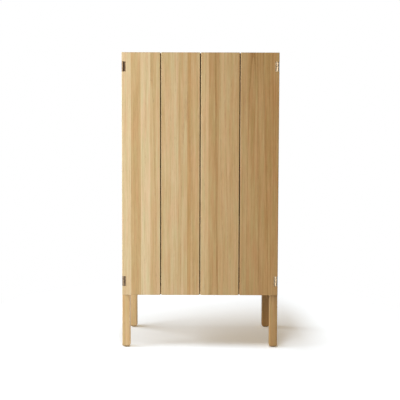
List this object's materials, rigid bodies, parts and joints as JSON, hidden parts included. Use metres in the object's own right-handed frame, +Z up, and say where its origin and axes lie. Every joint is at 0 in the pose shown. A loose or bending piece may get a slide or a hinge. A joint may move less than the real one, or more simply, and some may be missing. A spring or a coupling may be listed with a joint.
{
  "type": "cabinet with folding doors",
  "caption": "Tall oak cabinet on square legs, its whole front closed by plain full-height folding door leaves, with shelves inside.",
  "frame": {"origin": "on the floor, under the middle of the cabinet's outside box", "axes": "+Z up; the doors face -Y; +X is to the right for someone who faces the doors"},
  "size_m": [0.806, 0.4, 1.52],
  "materials": {
    "oak": "clear satin oil over edge-glued oak staves",
    "browned_steel": "browned, satin",
    "steel": "bright, satin",
    "felt": "pressed felt",
    "dowel": "bare turned beech",
    "magnet": "nickel plate"
  },
  "bodies": {
    "carcass": {"back_board_1": "oak", "back_board_2": "oak", "back_board_3": "oak", "back_board_4": "oak", "back_rail_lower": "oak", "back_rail_upper": "oak", "bottom_bearer_left": "oak", "bottom_bearer_right": "oak", "bottom_panel": "oak", "catch_magnets": "magnet", "foot_glides": "felt", "front_rail": "oak", "hinge_pin_lower_left": "browned_steel", "hinge_pin_lower_right": "browned_steel", "hinge_pin_upper_left": "browned_steel", "hinge_pin_upper_right": "browned_steel", "post_front_left": "oak", "post_front_right": "oak", "post_hinge_lower_left": "browned_steel", "post_hinge_lower_right": "browned_steel", "post_hinge_screws": "browned_steel", "post_hinge_upper_left": "browned_steel", "post_hinge_upper_right": "browned_steel", "post_rear_left": "oak", "post_rear_right": "oak", "shelf_1": "oak", "shelf_2": "oak", "shelf_3": "oak", "shelf_pins": "steel", "side_panel_left": "oak", "side_panel_right": "oak", "top_dowels": "dowel", "top_panel": "oak"},
    "left_outer_door": {"door_hinge_lower_left": "browned_steel", "door_hinge_upper_left": "browned_steel", "door_outer_left": "oak", "fold_hinge_outer_lower_left": "browned_steel", "fold_hinge_outer_upper_left": "browned_steel", "fold_pins_left": "browned_steel", "outer_door_screws_left": "browned_steel"},
    "left_inner_door": {"door_inner_left": "oak", "door_strikes_left": "steel", "fold_hinge_inner_lower_left": "browned_steel", "fold_hinge_inner_upper_left": "browned_steel", "inner_door_screws_left": "browned_steel"},
    "right_outer_door": {"door_hinge_lower_right": "browned_steel", "door_hinge_upper_right": "browned_steel", "door_outer_right": "oak", "fold_hinge_outer_lower_right": "browned_steel", "fold_hinge_outer_upper_right": "browned_steel", "fold_pins_right": "browned_steel", "outer_door_screws_right": "browned_steel"},
    "right_inner_door": {"door_inner_right": "oak", "door_strikes_right": "steel", "fold_hinge_inner_lower_right": "browned_steel", "fold_hinge_inner_upper_right": "browned_steel", "inner_door_screws_right": "browned_steel"}
  },
  "joints": [
    {"name": "left_swing", "type": "hinge", "parent": "carcass", "child": "left_outer_door", "pos_m": [-0.393, -0.193, 0.9], "axis": [0, 0, -1], "range_deg": [0, 90]},
    {"name": "left_fold", "type": "hinge", "parent": "left_outer_door", "child": "left_inner_door", "pos_m": [-0.20125, -0.1745, 0.9], "axis": [0, 0, 1], "range_deg": [0, 180]},
    {"name": "right_swing", "type": "hinge", "parent": "carcass", "child": "right_outer_door", "pos_m": [0.393, -0.193, 0.9], "axis": [0, 0, 1], "range_deg": [0, 90]},
    {"name": "right_fold", "type": "hinge", "parent": "right_outer_door", "child": "right_inner_door", "pos_m": [0.20125, -0.1745, 0.9], "axis": [0, 0, -1], "range_deg": [0, 180]}
  ],
  "couplings": [
    {"joint": "left_fold", "follows": "left_swing", "ratio": 2},
    {"joint": "right_fold", "follows": "right_swing", "ratio": 2}
  ]
}
